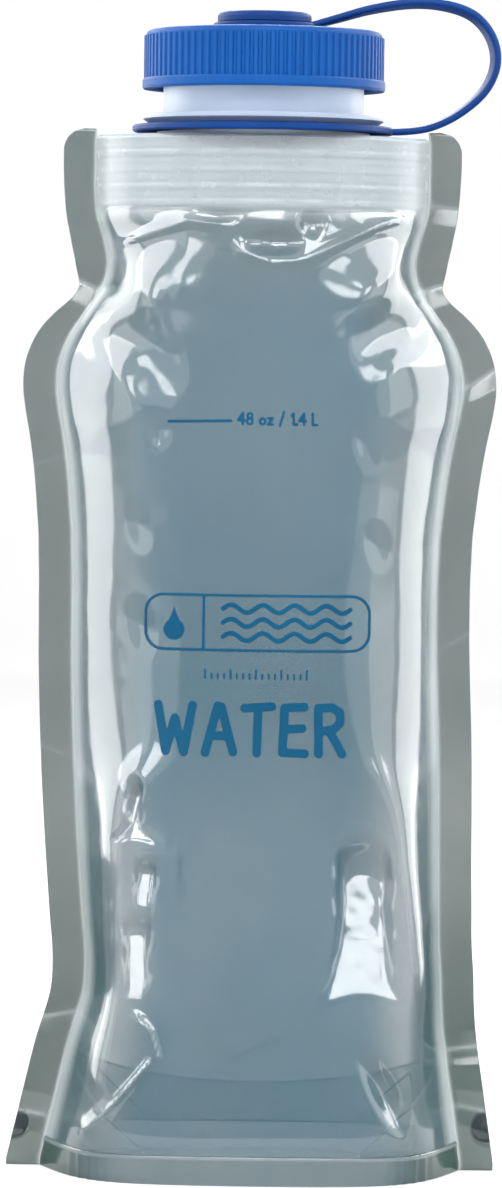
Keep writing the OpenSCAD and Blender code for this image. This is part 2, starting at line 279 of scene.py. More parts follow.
# Where the flat front face folds over into the sides, left and right of the middle.
fold_left = curve_mm((0, -45), (11, -47), (20, -46), (37, -44), (52, -43), (80, -42), (98, -42),
                     (109, -40), (125, -34), (150, -32), (190, -34), (215, -37), (228, -36),
                     (240, -31), (252, -33), (266, -33), (300, -34))
fold_right = curve_mm((0, 45), (10, 47), (20, 46), (38, 45), (56, 45), (75, 44), (91, 43),
                      (105, 42), (125, 38), (150, 37), (195, 38), (215, 39), (232, 37),
                      (243, 32), (255, 36), (266, 38), (300, 36))
# How sharply it folds there: small is round, large is a crease.
fold_sharpness = smooth_curve(np.array([0, 10, 22, 60, 100, 125, 190, 225, 250, 300]) * MM,
                              [2.3, 3.4, 8, 9, 7, 3.2, 2.7, 3.6, 5, 4])

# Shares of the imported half-depth: how far out the film's middle stands, how far the flat face
# drops toward the seals, and how far out the planes from the seals come at the folds.
MIDDLE, CROWN, FOLD_REACH = 1.03, 0.05, 1.06
ARCS_FROM = 0.83 * FILM_TOP    # above this height the folded section turns into the boat's arcs


def ease(t):
    """A smooth step from 0 to 1 while t goes from 0 to 1."""
    t = np.clip(t, 0, 1)
    return t * t * (3 - 2 * t)


def soft_minimum(power, *values):
    """The smallest value, rounded off where two are close; a high power rounds less."""
    return sum(np.maximum(v, 1e-7) ** -power for v in values) ** (-1 / power)


def arc_bulge(x, w, d):
    """Height at x of an arc that rises d over a chord of half-width w."""
    r = (w * w + d * d) / (2 * d)
    return np.sqrt(np.maximum(0, r * r - x * x)) - (r - d)


def folded_section(s, z):
    """A flat face between two folds, and a plane from each fold down to its side seal.

    It is scaled so that the middle's depth doesn't depend on how sharp the folds are."""
    w, d = inner_w(z), half_depth(z)
    x = s * w
    face = MIDDLE * d - CROWN * d * s * s
    left_slope = FOLD_REACH * d / (w + fold_left(z))
    right_slope = FOLD_REACH * d / (w - fold_right(z))
    power = fold_sharpness(z)
    middle = soft_minimum(power, MIDDLE * d, w * left_slope, w * right_slope)
    section = soft_minimum(power, face, (x + w) * left_slope, (w - x) * right_slope)
    return section * MIDDLE * d / middle


def film_depth(s, z):
    """Distance of the film from the pouch's middle plane: folded low down, the boat's arcs on top."""
    share = ease((z - ARCS_FROM) / (BOAT_LOW - ARCS_FROM))
    arcs = arc_bulge(s * inner_w(z), inner_w(z), half_depth(z))
    return (1 - share) * folded_section(s, z) + share * arcs


# ---- wrinkles and dents, each a height over the film at (x, z) in millimetres ----

def bump_noise(x, z, size, seed, stretch=1.0):
    """Smooth noise in -1..1 with features of about the given size, longer upwards by stretch."""
    x, z = np.broadcast_arrays(x, z)
    flat = [noise.noise(Vector((a / size, b / (size * stretch), seed)))
            for a, b in zip(x.ravel(), z.ravel())]
    return np.array(flat).reshape(x.shape)


def creased_noise(x, z, size, seed, stretch=1.0):
    """Noise with sharp ridges, like film that has been crumpled."""
    return 1 - 2 * np.abs(bump_noise(x, z, size, seed, stretch))


def dent(x, z, place, size, depth, turn=0.0, power=1.5):
    """An oval dent with a soft rim; a low power makes its bottom pointed."""
    c, s = math.cos(math.radians(turn)), math.sin(math.radians(turn))
    dx, dz = x - place[0], z - place[1]
    u, v = (c * dx + s * dz) / size[0], (-s * dx + c * dz) / size[1]
    r = np.sqrt(u * u + v * v)
    return -depth * np.maximum(0, 1 - r ** power) ** 2 * (r < 1)


def scoop(x, z, foot, width, height, depth, taper=0.0):
    """A dent like a shoe's toe: a steep, curved foot that faces up, and a long shallow back."""
    flare = 1 - taper * ease((z - foot[1]) / (0.45 * height))
    u = (x - foot[0]) / (0.5 * width * flare)
    rim = foot[1] + 0.16 * width * (1 - u * u)
    v = (z - rim) / height
    across = ease((1 - np.abs(u)) / 0.35)
    steep = np.clip(v / 0.7, 0, 1)
    back = ease((1 - v) / 0.3)
    return -depth * across * steep * back * (v > 0) * (v < 1)


def distance_to_line(x, z, line):
    """Signed distance to a line of points and the share of the line's length at the nearest one."""
    best = np.full(x.shape, 1e9)
    signed = np.zeros(x.shape)
    along = np.zeros(x.shape)
    line = np.array(line, float)
    total = np.sum(np.linalg.norm(np.diff(line, axis=0), axis=1))
    run = 0.0
    for a, b in zip(line[:-1], line[1:]):
        ab = b - a
        length = np.linalg.norm(ab)
        t = np.clip(((x - a[0]) * ab[0] + (z - a[1]) * ab[1]) / length**2, 0, 1)
        dx, dz = x - a[0] - t * ab[0], z - a[1] - t * ab[1]
        d = np.hypot(dx, dz)
        side = np.sign(ab[0] * dz - ab[1] * dx)
        nearer = d < best
        best = np.where(nearer, d, best)
        signed = np.where(nearer, d * side, signed)
        along = np.where(nearer, (run + t * length) / total, along)
        run += length
    return signed, along


def crease(x, z, line, width, height, step=0.0):
    """A sharp fold along a line: a ridge, or with step, a change of level across it."""
    d, along = distance_to_line(x, z, line)
    fade = ease(np.minimum(along, 1 - along) / 0.15)
    ridge = height * np.exp(-np.abs(d) / width)
    ledge = step * d / width * np.exp(-np.abs(d) / width)
    return fade * (ridge + ledge)


def edge_fade(s, z_mm):
    """Wrinkles die away at the welds: the side seals, the base band and the boat."""
    side = ease((1 - np.abs(s)) / 0.10)
    low = ease((z_mm - BAND_H / MM) / 6)
    high = ease((BOAT_LOW / MM - z_mm) / 4)
    return side * low * high


def boat_imprint(z_mm):
    """The boat's weld ribs show through the film on it."""
    first, pitch = BOAT_LOW / MM + 1, 2.35
    phase = (z_mm - first) / pitch
    rib = np.round(phase)
    near = np.abs(phase - rib) * pitch
    height = np.where(rib % 2 == 0, 0.5, 0.22)
    on_boat = z_mm > BOAT_LOW / MM
    return on_boat * height * np.exp(-(near / 0.5) ** 2)


def crumple(x, z, s, seed):
    """Where the film is pinched: below the boat, at the shoulders and low down at the corners."""
    under_boat = ease((z - 252) / 16)
    shoulder = ease((np.abs(s) - 0.35) / 0.3) * ease((z - 205) / 15) * ease((262 - z) / 15)
    corners = 0.35 * ease((np.abs(s) - 0.4) / 0.3) * ease((45 - z) / 20)
    sides = 0.25 * ease((np.abs(s) - 0.55) / 0.2)
    where = np.clip(under_boat * 0.5 + shoulder + corners + sides, 0, 1)
    return where * (creased_noise(x, z, 27, seed, 1.5)
                    + 0.18 * creased_noise(x, z, 10, seed + 5, 1.3))


# The two long folds under the boat.
UNDER_BOAT_LEFT = [(-42, 266), (-35, 268), (-20, 273), (-6, 271)]
UNDER_BOAT_RIGHT = [(-9, 269), (-5, 264), (3, 261), (12, 262), (20, 266), (32, 272), (47, 278)]

# Shallow hollows beside the flat front: place and half-size.
PATCHES = [((-33, 158), (5, 10)), ((-34, 187), (4, 9)), ((-29, 214), (5, 7)),
           ((34, 182), (4, 8)), ((31, 211), (5, 9))]


def front_relief(x, z, s):
    """The front film's own dents and folds."""
    h = 0.5 * bump_noise(x, z, 45, 3.0, 1.5) + 0.08 * bump_noise(x, z, 15, 7.0)
    h += crumple(x, z, s, 11.0)

    # Low down: a bell on the right and two strips on the left, with torn-looking edges, a triangle
    # over the strips, a leaf at the right corner, a fold that slants across the left corner and a
    # faint one in the middle.
    ragged_x = x + bump_noise(x, z, 7, 71.0)
    ragged_z = z + 1.2 * bump_noise(x, z, 6, 74.0) * ease((z - 58) / 12)
    h += scoop(ragged_x, ragged_z, (31.5, 50), 28, 49, 7.5, taper=0.38)
    h += scoop(x, z, (-34, 95), 18, 19, 5.5, taper=0.75)
    h += scoop(ragged_x, z, (-31, 75), 7, 18, 3.2) + scoop(ragged_x, z, (-33, 51), 8, 27, 4.2)
    h += dent(x, z, (38.5, 27), (5.4, 18.5), 3.8, turn=27, power=2)
    h += crease(x, z, [(-35, 51), (-29, 43), (-27, 36), (-38, 23), (-50, 11)], 1.4, 2.3)
    h += crease(x, z, [(-31, 17), (-18, 27), (-4, 36), (12, 43)], 0.6, 0.2)

    # The shoulders, and the folds and pockets under the boat.
    h += dent(x, z, (-31, 234), (11, 17), 2.4, turn=25, power=2.2)
    h += dent(x, z, (34, 243), (9, 17), 2.4, turn=-15, power=2.2)
    h += crease(x, z, UNDER_BOAT_LEFT, 1.3, 1.5, 0.5)
    h += crease(x, z, UNDER_BOAT_RIGHT, 1.6, 2.2, 0.9)
    h += dent(x, z, (4, 267.5), (10, 4.5), 3.4, power=2.5)
    h += dent(x, z, (-12, 275.5), (8, 3), 2.2, power=2.5)
    h += dent(x, z, (14, 273), (4.5, 5.5), 2.6, turn=-15, power=2.5)
    h += dent(x, z, (-26, 250), (7, 12), 1.2, turn=15)
    for place, size in PATCHES:
        h += dent(x, z, place, size, 1.1, turn=12, power=2)
    return h


def back_relief(x, z, s):
    """The back film's own dents and folds."""
    h = 0.5 * bump_noise(x, z, 45, 23.0, 1.5) + 0.08 * bump_noise(x, z, 15, 27.0)
    h += crumple(x, z, s, 31.0)
    h += scoop(x, z, (-30, 60), 20, 34, 4.0)
    h += dent(x, z, (28, 100), (10, 24), 3.0, turn=8)
    h += dent(x, z, (30, 236), (11, 16), 3.2, turn=-20)
    h += crease(x, z, [(-44, 274), (-20, 268), (0, 266), (22, 269), (44, 275)], 1.6, 1.4, 0.8)
    return h


RELIEF = {-1: front_relief, 1: back_relief}
COLUMNS, ROWS, BAND_ROWS = 145, 331, 25


def section_shares(z_row):
    """Shares across the film, evenly spaced along the curve of its section at this height."""
    s = np.linspace(-1, 1, 801)
    x, y = s * inner_w(z_row), film_depth(s, np.full(s.shape, z_row))
    run = np.concatenate([[0], np.cumsum(np.hypot(np.diff(x), np.diff(y)))])
    return np.interp(np.linspace(0, run[-1], COLUMNS), run, s)


def film_grid(low, high, rows):
    """Shares across the film and heights, row by row between two heights."""
    z_rows = np.linspace(low, high, rows)
    return np.array([section_shares(z) for z in z_rows]), np.repeat(z_rows[:, None], COLUMNS, axis=1)


def film_points(s, z, side):
    """Points on one film's outer face at shares s and heights z; side is -1 in front, 1 behind."""
    x = s * inner_w(z)
    points = np.stack([x + sway(z), side * film_depth(s, z), z], axis=2)
    if side > 0:
        points, s = points[:, ::-1], s[:, ::-1]
    x_mm, z_mm = points[:, :, 0] / MM, z / MM
    height = RELIEF[side](x_mm, z_mm, s) * edge_fade(s, z_mm)
    height += boat_imprint(z_mm) * ease((1 - np.abs(s)) / 0.04)
    return points + grid_normals(points) * (height * MM)[:, :, None]


# ---- materials ----

def new_material(name):
    """A new material with its nodes, its links and its shader."""
    mat = bpy.data.materials.new(name)
    mat.use_nodes = True
    return mat, mat.node_tree.nodes, mat.node_tree.links, mat.node_tree.nodes["Principled BSDF"]


def plain_material(name, color, roughness):
    mat, _, _, shader = new_material(name)
    shader.inputs["Base Color"].default_value = (*color, 1)
    shader.inputs["Roughness"].default_value = roughness
    return mat


def noise_node(nodes, links, scale, detail, stretch=(1, 1, 1)):
    """The value of a noise in the object's own coordinates, with scale features to the metre."""
    coords = nodes.new("ShaderNodeTexCoord")
    mapping = nodes.new("ShaderNodeMapping")
    mapping.inputs["Scale"].default_value = stretch
    tex = nodes.new("ShaderNodeTexNoise")
    tex.inputs["Scale"].default_value = scale
    tex.inputs["Detail"].default_value = detail
    links.new(coords.outputs["Object"], mapping.inputs["Vector"])
    links.new(mapping.outputs["Vector"], tex.inputs["Vector"])
    return tex.outputs["Fac"]


def ramp(nodes, links, source, low, high, color_low, color_high):
    """A colour that goes from one to the other while the source goes from low to high."""
    node = nodes.new("ShaderNodeValToRGB")
    node.color_ramp.elements[0].position = low
    node.color_ramp.elements[1].position = high
    node.color_ramp.elements[0].color = (*color_low, 1)
    node.color_ramp.elements[1].color = (*color_high, 1)
    links.new(source, node.inputs["Fac"])
    return node.outputs["Color"]


def value_range(nodes, links, source, low, high):
    """Spreads a noise's usual values, 0.3 to 0.7, over low to high."""
    node = nodes.new("ShaderNodeMapRange")
    node.inputs["From Min"].default_value = 0.3
    node.inputs["From Max"].default_value = 0.7
    node.inputs["To Min"].default_value = low
    node.inputs["To Max"].default_value = high
    links.new(source, node.inputs["Value"])
    return node.outputs["Result"]


BUMP_H = 0.3 * MM        # height that a bump's full range stands for


def add_bump(nodes, links, shader, source, strength):
    node = nodes.new("ShaderNodeBump")
    node.inputs["Strength"].default_value = strength
    node.inputs["Distance"].default_value = BUMP_H
    links.new(source, node.inputs["Height"])
    links.new(node.outputs["Normal"], shader.inputs["Normal"])


def multiply_colors(nodes, links, a, b):
    node = nodes.new("ShaderNodeMix")
    node.data_type = "RGBA"
    node.blend_type = "MULTIPLY"
    node.inputs["Factor"].default_value = 1
    links.new(a, node.inputs["A"])
    links.new(b, node.inputs["B"])
    return node.outputs["Result"]


def math_node(nodes, links, operation, *values):
    """A sum, product or power of numbers and sockets."""
    node = nodes.new("ShaderNodeMath")
    node.operation = operation
    for socket, value in zip(node.inputs, values):
        if isinstance(value, (int, float)):
            socket.default_value = value
        else:
            links.new(value, socket)
    return node.outputs[0]


def film_material(name, ior, roughness=0.09, edge_on=0.6):
    """Clear film: its tint and opacity come from the vertices, and edge_on is what it gains in
    opacity where it is seen edge on."""
    mat, nodes, links, shader = new_material(name)
    tint = nodes.new("ShaderNodeAttribute")
    tint.attribute_name = "tint"
    cloud = noise_node(nodes, links, 28, 5, (1, 1, 0.5))
    shade = ramp(nodes, links, cloud, 0.3, 0.7, (0.82, 0.84, 0.86), (1, 1, 1))
    color = multiply_colors(nodes, links, tint.outputs["Color"], shade)
    links.new(color, shader.inputs["Base Color"])
    patchy = value_range(nodes, links, cloud, 0.93, 1.05)
    solid = math_node(nodes, links, "MULTIPLY", tint.outputs["Alpha"], patchy)
    grazing = nodes.new("ShaderNodeLayerWeight")
    slant = math_node(nodes, links, "POWER", grazing.outputs["Facing"], 2)
    gain = math_node(nodes, links, "MULTIPLY", slant, edge_on)
    links.new(math_node(nodes, links, "ADD", solid, gain), shader.inputs["Alpha"])
    fine = noise_node(nodes, links, 260, 3)
    gloss = value_range(nodes, links, fine, roughness - 0.03, roughness + 0.05)
    links.new(gloss, shader.inputs["Roughness"])
    add_bump(nodes, links, shader, fine, 0.025)
    shader.inputs["IOR"].default_value = ior
    return mat


def plastic_material(name, dark, light):
    """A moulded plastic or an ink whose colour drifts between dark and light."""
    mat, nodes, links, shader = new_material(name)
    cloud = noise_node(nodes, links, 30, 4)
    color = ramp(nodes, links, cloud, 0.35, 0.65, dark, light)
    links.new(color, shader.inputs["Base Color"])
    fine = noise_node(nodes, links, 900, 4)
    links.new(value_range(nodes, links, fine, 0.39, 0.51), shader.inputs["Roughness"])
    add_bump(nodes, links, shader, fine, 0.08)
    shader.inputs["Specular IOR Level"].default_value = 0.09
    return mat


def spout_material():
    """Uncoloured polyethylene: whiter in the boat, with a painted blue glow up the neck where the
    cap's light shines in, and painted shade on the flange where it sits on the ring.
    """
    mat, nodes, links, shader = new_material("natural_polyethylene")
    coords = nodes.new("ShaderNodeTexCoord")
    split = nodes.new("ShaderNodeSeparateXYZ")
    links.new(coords.outputs["Object"], split.inputs["Vector"])
    up = nodes.new("ShaderNodeMapRange")
    low, high = FILM_TOP - 4 * MM, RING_HIGH.z + 6 * MM
    up.inputs["From Min"].default_value = low
    up.inputs["From Max"].default_value = high
    links.new(split.outputs["Z"], up.inputs["Value"])
    body = nodes.new("ShaderNodeValToRGB")
    flange_shade = (RING_HIGH.z - low) / (high - low)    # the flange's painted shade, darker where it sits on the ring
    stops = body.color_ramp.elements
    stops[0].position, stops[0].color = 0, (0.46, 0.54, 0.58, 1)
    stops[1].position, stops[1].color = 1, (0.46, 0.56, 0.71, 1)
    for place in (flange_shade, flange_shade + 2.5 * MM / (high - low)):
        stops.new(place).color = (0.35, 0.42, 0.53, 1)
    links.new(up.outputs["Result"], body.inputs["Fac"])
    cloud = noise_node(nodes, links, 60, 4)
    shade = ramp(nodes, links, cloud, 0.3, 0.7, (0.9, 0.91, 0.93), (1, 1, 1))
    color = multiply_colors(nodes, links, body.outputs["Color"], shade)
    links.new(color, shader.inputs["Base Color"])
    fine = noise_node(nodes, links, 700, 4)
    links.new(value_range(nodes, links, fine, 0.32, 0.46), shader.inputs["Roughness"])
    add_bump(nodes, links, shader, fine, 0.06)
    shader.inputs["Subsurface Weight"].default_value = 0.4
    shader.inputs["Subsurface Radius"].default_value = (5 * MM, 5 * MM, 5 * MM)
    return mat


def dress(node, mat):
    """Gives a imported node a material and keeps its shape."""
    mesh = NODES[node].data
    mesh.materials.clear()
    mesh.materials.append(mat)


# ---- tints: red, green, blue and opacity of one film ----
# MILK is film on the boat, FOLDED a crease's haze. The window tint is painted shade in the half-round
# hole in a side seal, the side tint a painted sheen, the seam tint a weld's haze with a painted
# highlight, and the corner tint a fused corner's haze with a painted reflection. The low tints,
# denser than the high ones, are painted shade.

CENTRE_HIGH = (0.032, 0.132, 0.188, 0.375)
CENTRE_LOW = (0.026, 0.124, 0.176, 0.47)
SIDE_SHEEN = (0.07, 0.135, 0.155, 0.34)
MILK = (0.52, 0.58, 0.59, 0.40)
FOLDED = (0.42, 0.48, 0.50, 0.50)
SEAM_HAZE_AND_SHEEN = (0.62, 0.68, 0.68, 0.75)
GUSSET = (0.03, 0.10, 0.14, 0.05)
CORNER_HAZE_AND_SHEEN = (0.80, 0.88, 0.86, 0.24)
WELD_HIGH = (0.024, 0.068, 0.064, 0.56)
WELD_LOW = (0.036, 0.078, 0.066, 0.74)
BAND = (0.025, 0.10, 0.13, 0.40)
WINDOW_SHADE = (0.008, 0.02, 0.025, 0.88)


def mix_tint(a, b, share):
    """A tint between a and b for each place; a and b are tints or arrays of them."""
    share = np.asarray(share)[..., None]
    return np.asarray(a) * (1 - share) + np.asarray(b) * share


def film_tint(points, s, side):
    """The wall's tint: blue in the flat middle and deepest low down, where it is painted shade,
    greyer and lighter at the sides and under the boat, a painted sheen, pale beside the seals, a
    painted highlight, and milky where it is welded to the boat."""
    z = points[:, :, 2] / MM
    if side > 0:
        s = s[:, ::-1]
    wide = ease((np.abs(s) - 0.5) / 0.35)
    # Deeper and more opaque low down: painted shade.
    centre = mix_tint(CENTRE_LOW, CENTRE_HIGH, ease((z - 40) / 210))
    # Lighter and greyer towards the sides and, below, under the boat: a painted sheen.
    tint = mix_tint(centre, SIDE_SHEEN, wide)
    throat = ease((z - 246) / 26)
    tint = mix_tint(tint, SIDE_SHEEN, 0.6 * throat)
    # A pale band beside the seals: a painted highlight.
    tint = mix_tint(tint, SEAM_HAZE_AND_SHEEN, 0.75 * ease((np.abs(s) - 0.92) / 0.06))
    return mix_tint(tint, MILK, ease((z - BOAT_LOW / MM + 5) / 6))


# ---- pieces of film ----

def press_with_wall(obj, side):
    """Bakes the piece's place into its mesh. The film doesn't follow its wall here: its start below
    the boat is worked out but not used."""
    start = Vector((0, side * half_depth(BOAT_LOW), BOAT_LOW))
    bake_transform(obj)


def make_walls(mat, fused_mat):
    """The front and the back film, from the base band up over the boat."""
    s, z = film_grid(BAND_H - 0.3 * MM, FILM_TOP - 0.5 * MM, ROWS)
    for side, name in SIDE_NAMES.items():
        points = film_points(s, z, side)
        film = film_piece(f"{name}_film", points, FILM_T, film_tint(points, s, side))
        film.data.materials.append(mat)
        film.data.materials.append(fused_mat)
        for face in film.data.polygons:
            face.material_index = int(face.center.z > BOAT_LOW)
        press_with_wall(film, side)
        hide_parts(f"{name}_panel")


def make_base_bands(mat):
    """The welded band round the base, with a bead where the weld ends and pleats at the corners."""
    s, z = film_grid(0, BAND_H, BAND_ROWS)
    z_mm = z / MM
    bead = np.exp(-((z_mm - BAND_H / MM + 0.8) / 0.5) ** 2)
    tint = mix_tint(mix_tint(BAND, WELD_LOW, ease((np.abs(s) - 0.6) / 0.3)), FOLDED, 0.6 * bead)
    for side, name in SIDE_NAMES.items():
        points = film_points(s, z, side)
        x_mm = points[:, :, 0] / MM
        pleat = np.sin(2.3 * x_mm + 0.5 * bump_noise(x_mm, z_mm, 6, 43.0 + side, 3))
        pleated = ease((np.abs(x_mm) - 36) / 5) * ease((54 - np.abs(x_mm)) / 6)
        ripple = 0.25 * bump_noise(x_mm, z_mm, 16, 41.0 + side, 3) + 0.3 * pleat * pleated
        height = 0.35 * bead + ripple * (1 - bead)
        points = points + grid_normals(points) * (height * MM)[:, :, None]
        band = film_piece(f"{name}_base_weld", points, WELD_T, tint)
        band.data.materials.append(mat)
        press_with_wall(band, side)
        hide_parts(f"{name}_base_seal")


# The corner welds: shares across the film where their slanting top starts and ends, and how high
# it ends. The gusset's fold: its height at its ends and in the middle.
CORNER_X, CORNER_END = 0.5, 0.985
CORNER_H = 33 * MM
FOLD_END_H, FOLD_MIDDLE_H = 34 * MM, 25 * MM

CORNER_COLUMNS, CORNER_ROWS = 34, 22
GUSSET_COLUMNS, GUSSET_ROWS = 91, 29


def corner_top(s):
    """Height of the slanting weld at a corner, against the share across the film."""
    rise = np.maximum(0, np.abs(s) - CORNER_X) / (CORNER_END - CORNER_X)
    return BAND_H + (CORNER_H - BAND_H) * rise


def make_corner_welds(mat):
    """The gusset's corners, fused to the inside of both walls below a slanting line."""
    share = np.linspace(0, 1, CORNER_ROWS)[:, None] * np.ones(CORNER_COLUMNS)
    # Pale fused film, partly its own haze and partly a painted reflection, with a pale weld line
    # along the top.
    tint = mix_tint(CORNER_HAZE_AND_SHEEN, SEAM_HAZE_AND_SHEEN, 0.9 * ease((share - 0.9) / 0.1))
    for end, corner in END_NAMES.items():
        s_row = end * np.linspace(CORNER_X + 0.02, CORNER_END, CORNER_COLUMNS)[::end]
        s = np.repeat(s_row[None, :], CORNER_ROWS, axis=0)
        z = BAND_H + share * (corner_top(s) - BAND_H)
        for side, name in SIDE_NAMES.items():
            points = film_points(s, z, side)
            points = points - grid_normals(points) * (FILM_T + 0.15 * MM)
            patch = film_piece(f"{corner}_corner_weld_{name}", points, FILM_T, tint)
            patch.data.materials.append(mat)
            press_with_wall(patch, side)
            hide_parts(f"{corner}_corner_seal")


def make_gusset(mat):
    """The third film: a tent between the walls, in a front and a back half that meet at the fold."""
    s_row = np.linspace(-CORNER_END, CORNER_END, GUSSET_COLUMNS)
    s = np.repeat(s_row[None, :], GUSSET_ROWS, axis=0)
    v = np.linspace(1, 0, GUSSET_ROWS)[:, None]    # 1 at the wall, 0 at the fold
    foot = corner_top(s)
    ridge = FOLD_MIDDLE_H + (FOLD_END_H - FOLD_MIDDLE_H) * s * s
    z = foot + (ridge - foot) * (1 - v ** 1.5)
    x = s * (inner_w(foot) - 0.9 * MM) + sway(z)
    reach = film_depth(s, foot) - 1.6 * MM
    fold = np.exp(-((v * reach / MM) / 0.9) ** 2)
    for side, name in SIDE_NAMES.items():
        y = side * np.maximum(reach, 0.2 * MM) * v
        flutter = 0.7 * bump_noise(x / MM, v * 30, 14, 51.0 + side) * np.sin(math.pi * v)
        points = np.stack([x, y, z + flutter * MM], axis=2)
        tint = mix_tint(GUSSET, FOLDED, 0.7 * fold)
        if side > 0:
            points, tint = points[:, ::-1], tint[:, ::-1]
        half = film_piece(f"{name}_gusset", points, FILM_T, tint)
        half.data.materials.append(mat)
        press_with_wall(half, side)
        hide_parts("base_gusset")


# Creases across the side seals, in mm: their height on the bottle at the inner and at the outer
# edge, and how far they stand out.
SEAL_CREASES = {
    -1: [(253, 256, 1.3), (45, 43, 1.0), (14, 16, 1.0), (118, 122, 0.25), (206, 203, 0.25)],
    1: [(279, 278, 0.8), (254, 256, 1.4), (226, 232, 1.3), (35, 36, 1.2), (19, 17, 0.8),
        (150, 156, 0.3)],
}
SEAL_COLUMNS, SEAL_ROWS = 33, 421
EAR_R = 6 * MM                          # of the rounded top corner
THROAT_Z, THROAT = 253 * MM, 3.2 * MM   # where a seal is pinched narrow, and by how much
PUNCH_Z, PUNCH_R = 12.5 * MM, 5 * MM    # the half-round window


def seal_grid(end):
    """Points in the middle of a side seal's thickness, from its inner to its outer edge."""
    z_rows = np.linspace(0, EAR_TOP, SEAL_ROWS)
    u = np.linspace(0, 1, SEAL_COLUMNS)[None, :]
    z = np.repeat(z_rows[:, None], SEAL_COLUMNS, axis=1)
    into_ear = np.clip(z_rows - (EAR_TOP - EAR_R), 0, EAR_R)
    cut = EAR_R - np.sqrt(EAR_R**2 - into_ear**2)
    inner = inner_w(z_rows) - 0.4 * MM
    throat = THROAT * np.exp(-((z_rows - THROAT_Z) / (6 * MM)) ** 2)
    outer = outer_w(z_rows) - cut - throat
    x = inner[:, None] + u * (outer - inner)[:, None]
    x_mm, z_mm = x / MM, z / MM
    wave = u ** 1.4 * (1.1 * bump_noise(0.0, z_mm, 44, 61.0 + end)
                       + 0.5 * bump_noise(x_mm, z_mm, 13, 64.0 + end))
    for start, stop, rise in SEAL_CREASES[end]:
        d = np.abs(z_mm - (start + (stop - start) * u))
        wave = wave + u ** 0.5 * rise * (1.1 - d / 5) * (d < 5.5)
    y = wave * ease(u / 0.25) * MM
    return np.stack([end * x + sway(z), y, z], axis=2), u * np.ones(z.shape)


def make_side_welds(mat):
    """The side seals, thicker low down where the gusset is welded in, but not at the windows."""
    for end, name in END_NAMES.items():
        mid, u = seal_grid(end)
        z_mm = mid[:, :, 2] / MM
        if end < 0:
            mid, u = mid[:, ::-1], u[:, ::-1]
        bead = np.exp(-(u / 0.08) ** 2)
        punch = np.hypot(np.abs(mid[:, :, 0]) - outer_w(np.array(PUNCH_Z)), mid[:, :, 2] - PUNCH_Z)
        window = ease((PUNCH_R - punch) / (0.6 * MM))
        low = ease((CORNER_H / MM - z_mm) / 3)
        half = 0.5 * WELD_T * (1 + low * (1 - window)) + 0.22 * MM * bead
        # Denser towards the bottom: painted shade.
        tint = mix_tint(WELD_HIGH, WELD_LOW, ease((150 - z_mm) / 110))
        # Painted shade in the window; the pale weld bead is partly its own haze and partly a painted
        # highlight.
        tint = mix_tint(mix_tint(tint, WINDOW_SHADE, window), SEAM_HAZE_AND_SHEEN, 0.9 * bead)
        haze = np.zeros(z_mm.shape)
        for start, stop, rise in SEAL_CREASES[end]:
            d = z_mm - (start + (stop - start) * u)
            haze = np.maximum(haze, rise * np.exp(-(d / 0.7) ** 2))
        tint = mix_tint(tint, FOLDED, np.clip(0.45 * haze * u ** 0.3, 0, 1))
        offset = grid_normals(mid) * half[:, :, None]
        seal = shell(f"{name}_side_weld", mid + offset, mid - offset)
        paint(seal, tint)
        seal.data.materials.append(mat)
        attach(seal, "bottle")
        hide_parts(f"{name}_side_seal")


# ---- the tether's strap ----

STATIONS, STRAP_SIDES = 121, 24


def strap_route():
    """The strap's middle line, from inside the ring's rim over to the eyelet's, through listed
    points.
    """
    low, high = 0.5 * (RING_LOW.z + RING_HIGH.z), 0.5 * (EYELET_LOW.z + EYELET_HIGH.z)
    shape = [(34, 0), (40, 0.1), (48, 1.5), (56, 5.5), (63.2, 12), (66.4, 19.6), (65.2, 27),
             (60.4, 33), (53, 36), (43, 36.8), (31, 35), (21, 32.2)]
    points = [Vector((x * MM, 0, low + z * MM)) for x, z in shape]
    return points + [Vector((12 * MM, 0, high))]


def make_strap(mat):
    """A flat strap with rounded edges that leans over a little round the bend."""
    route = strap_route()
    x_at = smooth_curve(range(len(route)), [p.x for p in route])
    z_at = smooth_curve(range(len(route)), [p.z for p in route])
    run = np.linspace(0, len(route) - 1, STATIONS)
    x, z = x_at(run), z_at(run)
    along = np.stack([np.gradient(x), np.zeros(STATIONS), np.gradient(z)], axis=1)
    along /= np.linalg.norm(along, axis=1, keepdims=True)
    lean = math.radians(14) * np.sin(math.pi * np.linspace(0, 1, STATIONS))
    half_w, half_t, edge = 3.3 * MM, 1.0 * MM, 0.9 * MM
    n = STRAP_SIDES
    angles = np.linspace(0, 2 * math.pi, n, endpoint=False) + math.pi / n
    ring = [(math.copysign(half_w - edge, math.cos(a)) + edge * math.cos(a),
             math.copysign(half_t - edge, math.sin(a)) + edge * math.sin(a)) for a in angles]
    verts = []
    for i in range(STATIONS):
        t = Vector(along[i])
        across = Matrix.Rotation(lean[i], 3, t) @ Vector((0, 1, 0))
        out = t.cross(across)
        verts += [Vector((x[i], 0, z[i])) + across * p + out * q for p, q in ring]
    faces = [(n * i + k, n * i + (k + 1) % n, n * (i + 1) + (k + 1) % n, n * (i + 1) + k)
             for i in range(STATIONS - 1) for k in range(n)]
    faces += [range(n - 1, -1, -1), range((STATIONS - 1) * n, STATIONS * n)]
    strap = mesh_object("strap", verts, faces)
    strap.data.materials.append(mat)
    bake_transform(strap)
    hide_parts("tether_strap")


# ---- the print on the front film ----
# Each shape is a function of x and z in millimetres that is below zero where there is ink.

def capsule(x, z, line, width):
    """Distance outside a round-ended stroke along a line of points, in millimetres."""
    d, _ = distance_to_line(x, z, line)
    return np.abs(d) - 0.5 * width


